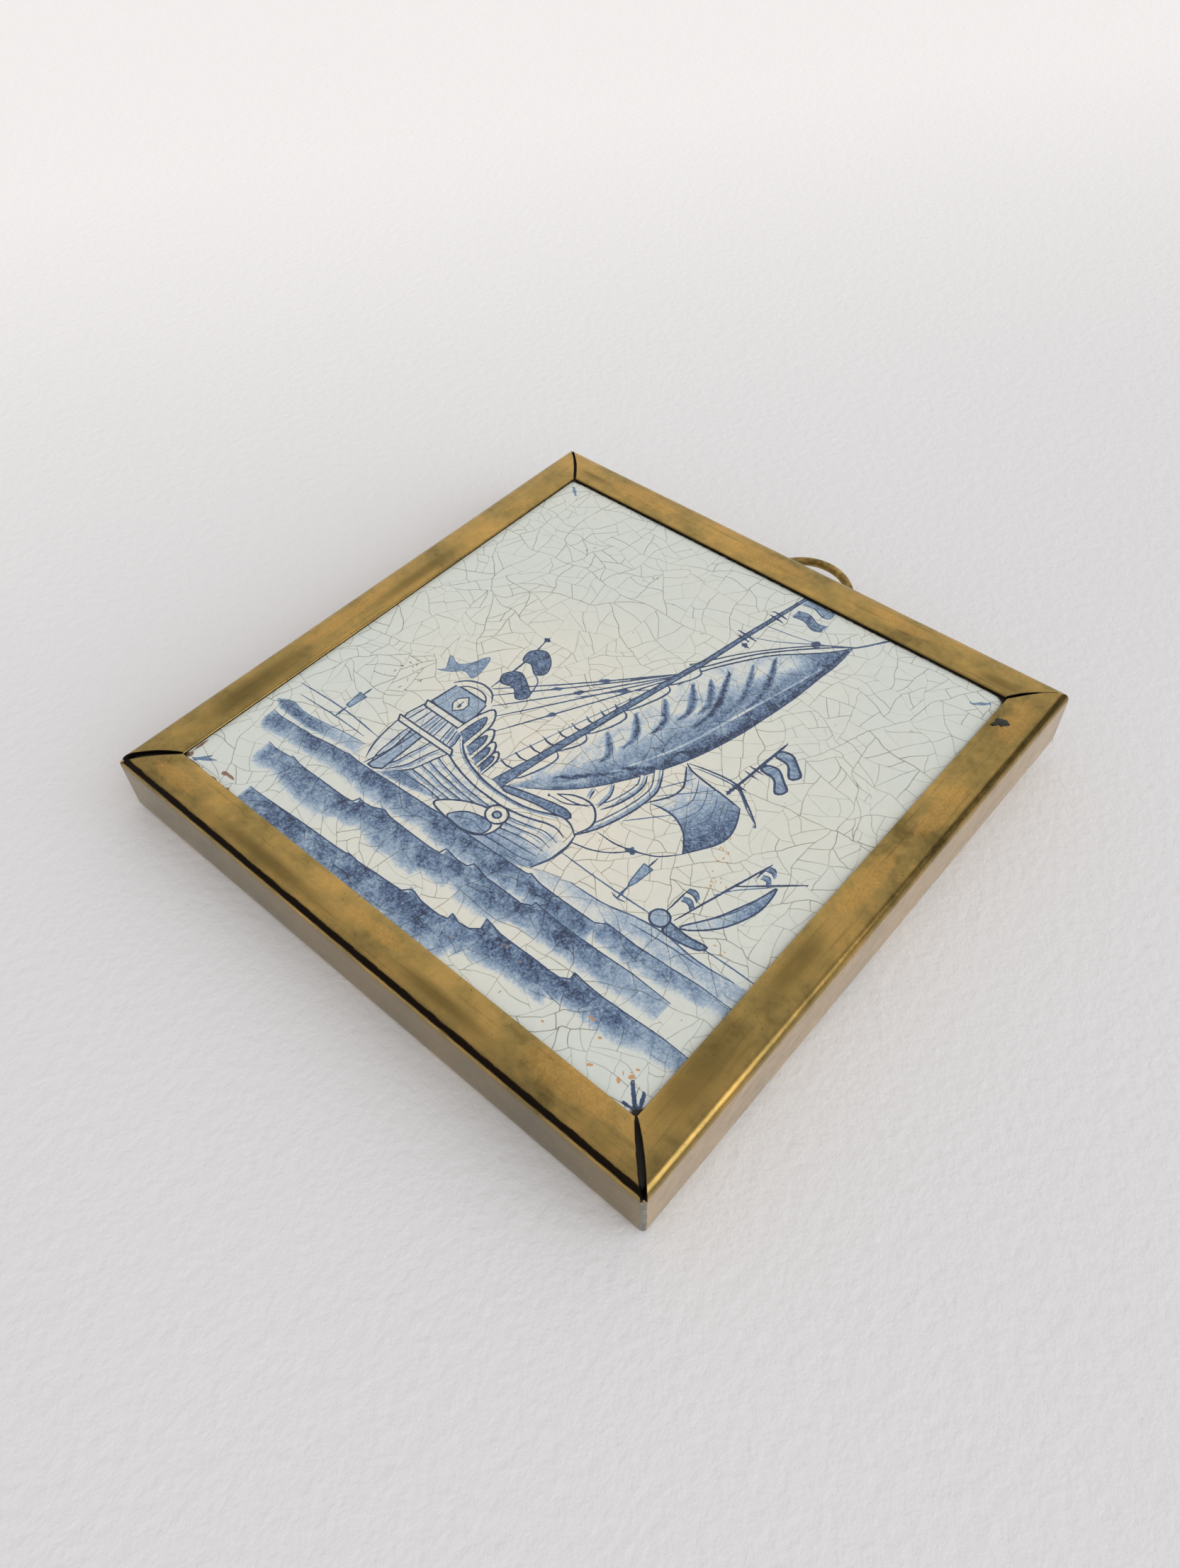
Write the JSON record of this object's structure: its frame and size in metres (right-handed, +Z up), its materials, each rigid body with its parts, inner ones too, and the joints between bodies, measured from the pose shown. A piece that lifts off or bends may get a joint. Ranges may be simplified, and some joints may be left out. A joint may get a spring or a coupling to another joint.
{
  "type": "framed ceramic tile",
  "caption": "Square painted glazed tile held in a folded brass channel frame, hung by a wire ring that folds on a strap at the back.",
  "frame": {"origin": "the point inside the top of the hanging ring where a nail bears", "axes": "+X the picture's right seen from the front, +Z up as it hangs, the glazed face looks along -Y"},
  "size_m": [0.1332, 0.0188, 0.1511],
  "materials": {
    "painted_glaze": "pale tin glaze with cobalt blue painting, fine crackle, gloss",
    "aged_brass": "olive brown patina, worn bright in patches, satin",
    "brass_wire": "dull brown brass wire"
  },
  "bodies": {
    "plaque": {"ceramic_tile": "painted_glaze", "brass_frame": "aged_brass", "ring_strap": "aged_brass"},
    "ring": {"hanging_ring": "brass_wire"}
  },
  "joints": [
    {"name": "ring_fold", "type": "hinge", "parent": "plaque", "child": "ring", "pos_m": [0, 0.00237, -0.02177], "axis": [-1, 0, 0], "range_deg": [0, 180]}
  ]
}
